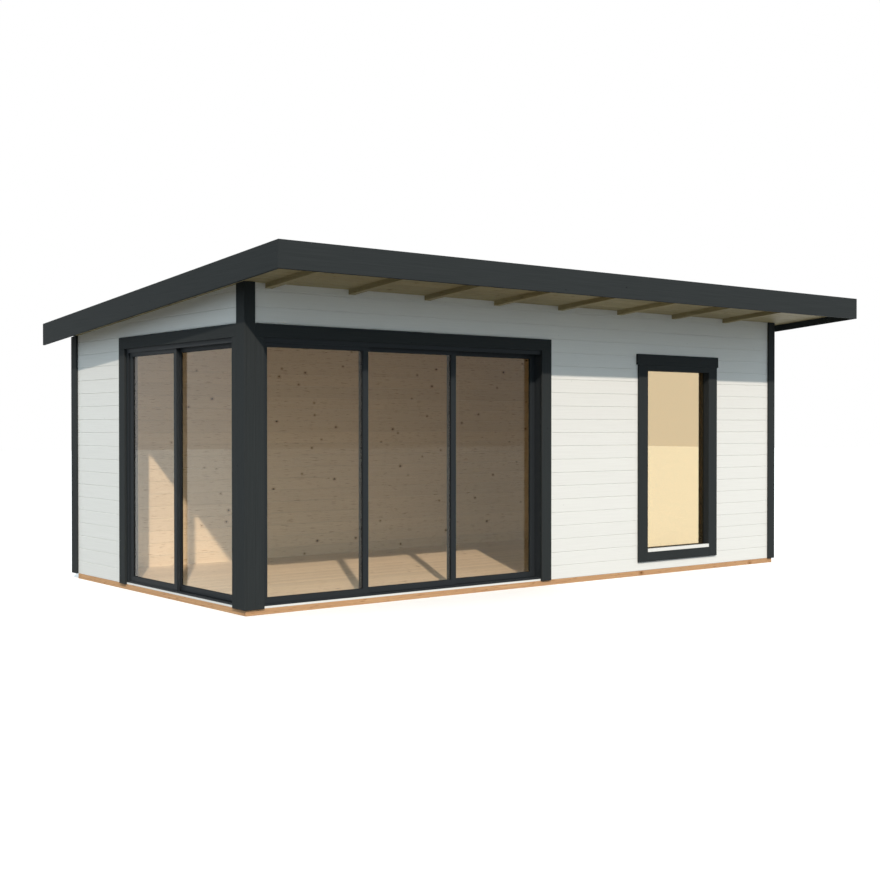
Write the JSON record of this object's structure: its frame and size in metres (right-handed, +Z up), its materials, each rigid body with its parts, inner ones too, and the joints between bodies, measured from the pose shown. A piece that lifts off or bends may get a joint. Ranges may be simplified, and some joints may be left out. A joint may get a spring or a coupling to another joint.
{
  "type": "guest cabin",
  "caption": "One-room guest cabin with white boarded walls, a mono-pitch roof with a deep front eave, sliding glass units that meet at a corner and a tall fixed window.",
  "frame": {"origin": "middle of the base's footprint, on the ground, on the underside of the middle floor bearer", "axes": "+X along the front to the right, +Y from the front to the back, +Z up"},
  "size_m": [6.416, 4.034, 2.572],
  "materials": {
    "treated_timber": "sawn, brown pressure-treated",
    "pine_timber": "planed, untreated",
    "white_boards": "planed boards under matt white paint",
    "dark_trim_boards": "planed boards under dark grey satin paint",
    "dark_aluminium": "dark grey powder coat",
    "tinted_glass": "bronze tinted",
    "roof_membrane": "matt sheet"
  },
  "bodies": {
    "cabin": {"long_base_beams": "treated_timber", "short_base_beams": "treated_timber", "floor_bearers": "treated_timber", "floor_boards": "pine_timber", "corner_post": "white_boards", "front_wall_over_door": "white_boards", "front_wall_middle": "white_boards", "front_wall_over_window": "white_boards", "front_wall_under_window": "white_boards", "front_wall_right": "white_boards", "left_wall_over_door": "white_boards", "left_wall_rear": "white_boards", "right_wall": "white_boards", "back_wall": "white_boards", "rafters": "pine_timber", "rafter_blocks": "white_boards", "ceiling_boards": "pine_timber", "roof_boards": "pine_timber", "roof_covering": "roof_membrane", "front_fascia": "dark_trim_boards", "back_fascia": "dark_trim_boards", "side_fascias": "dark_trim_boards", "front_left_corner_boards": "dark_trim_boards", "front_right_corner_boards": "dark_trim_boards", "back_left_corner_boards": "dark_trim_boards", "back_right_corner_boards": "dark_trim_boards", "front_door_header_trim": "dark_trim_boards", "front_door_side_trims": "dark_trim_boards", "left_door_header_trim": "dark_trim_boards", "left_door_side_trims": "dark_trim_boards", "door_sill_boards": "white_boards", "front_door_frame": "dark_aluminium", "left_door_frame": "dark_aluminium", "front_fixed_sash": "dark_aluminium", "left_fixed_sash": "dark_aluminium", "fixed_glass": "tinted_glass", "window_frame": "dark_trim_boards", "window_trim": "dark_trim_boards", "window_sill": "white_boards"},
    "front_middle_leaf": {"front_middle_sash": "dark_aluminium", "front_middle_glass": "tinted_glass"},
    "front_right_leaf": {"front_right_sash": "dark_aluminium", "front_right_glass": "tinted_glass"},
    "left_leaf": {"left_sliding_sash": "dark_aluminium", "left_sliding_glass": "tinted_glass"}
  },
  "joints": [
    {"name": "front_middle_slide", "type": "slide", "parent": "cabin", "child": "front_middle_leaf", "axis": [-1, 0, 0], "range_m": [0, 0.888]},
    {"name": "front_right_slide", "type": "slide", "parent": "cabin", "child": "front_right_leaf", "axis": [-1, 0, 0], "range_m": [0, 1.776]},
    {"name": "left_slide", "type": "slide", "parent": "cabin", "child": "left_leaf", "axis": [0, 1, 0], "range_m": [0, 0.781]}
  ]
}
